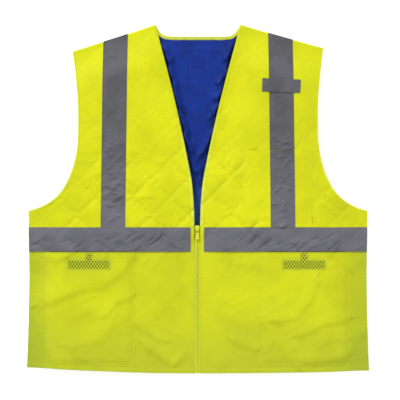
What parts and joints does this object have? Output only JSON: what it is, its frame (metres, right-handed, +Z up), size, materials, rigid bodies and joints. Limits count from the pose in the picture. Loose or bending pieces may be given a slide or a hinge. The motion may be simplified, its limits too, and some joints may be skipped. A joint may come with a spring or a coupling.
{
  "type": "cooling vest",
  "caption": "Sleeveless zip-front cooling vest with quilted chest and back, mesh skirt, reflective tapes, chest pocket and skirt pockets, lying on its back.",
  "frame": {"origin": "on the surface that the vest lies on, under the middle of its width and length", "axes": "+X to the wearer's left, +Y from hem to collar, +Z up out of the front"},
  "size_m": [0.719, 0.73, 0.0359],
  "materials": {
    "lime_cloth": "quilted polyester",
    "lime_mesh": "fine knitted mesh",
    "lime_binding": "folded binding",
    "blue_lining": "smooth nylon",
    "reflective_tape": "glass bead coating",
    "dark_closure": "hook tape",
    "lime_zip": "moulded",
    "lime_metal": "painted"
  },
  "bodies": {
    "vest": {"front_upper_right": "lime_cloth", "front_upper_left": "lime_cloth", "front_lower_right": "lime_mesh", "front_lower_left": "lime_mesh", "neck_binding_right": "lime_binding", "neck_binding_left": "lime_binding", "armhole_binding_right_front": "lime_binding", "armhole_binding_left_front": "lime_binding", "back_upper": "lime_cloth", "back_lower": "lime_mesh", "back_lining": "blue_lining", "back_neck_band": "lime_binding", "armhole_binding_right_back": "lime_binding", "armhole_binding_left_back": "lime_binding", "tape_right_front": "reflective_tape", "tape_left_front": "reflective_tape", "tape_left_pocket": "reflective_tape", "waist_tape_right": "reflective_tape", "waist_tape_left": "reflective_tape", "tape_right_back": "reflective_tape", "tape_left_back": "reflective_tape", "waist_tape_back": "reflective_tape", "mic_tab": "reflective_tape", "skirt_pocket_right": "lime_mesh", "skirt_pocket_left": "lime_mesh", "pocket_closure_right": "dark_closure", "pocket_closure_left": "dark_closure", "chest_pocket": "lime_cloth", "zip_tape_right": "lime_zip", "zip_tape_left": "lime_zip", "zip_chain": "lime_zip", "zip_slider": "lime_metal"},
    "zip_pull": {"zip_pull": "lime_metal"}
  },
  "joints": [
    {"name": "zip_pull_hinge", "type": "hinge", "parent": "vest", "child": "zip_pull", "pos_m": [-0.0015, -0.0661, 0.026], "axis": [-1, 0, 0], "range_deg": [0, 160]}
  ]
}
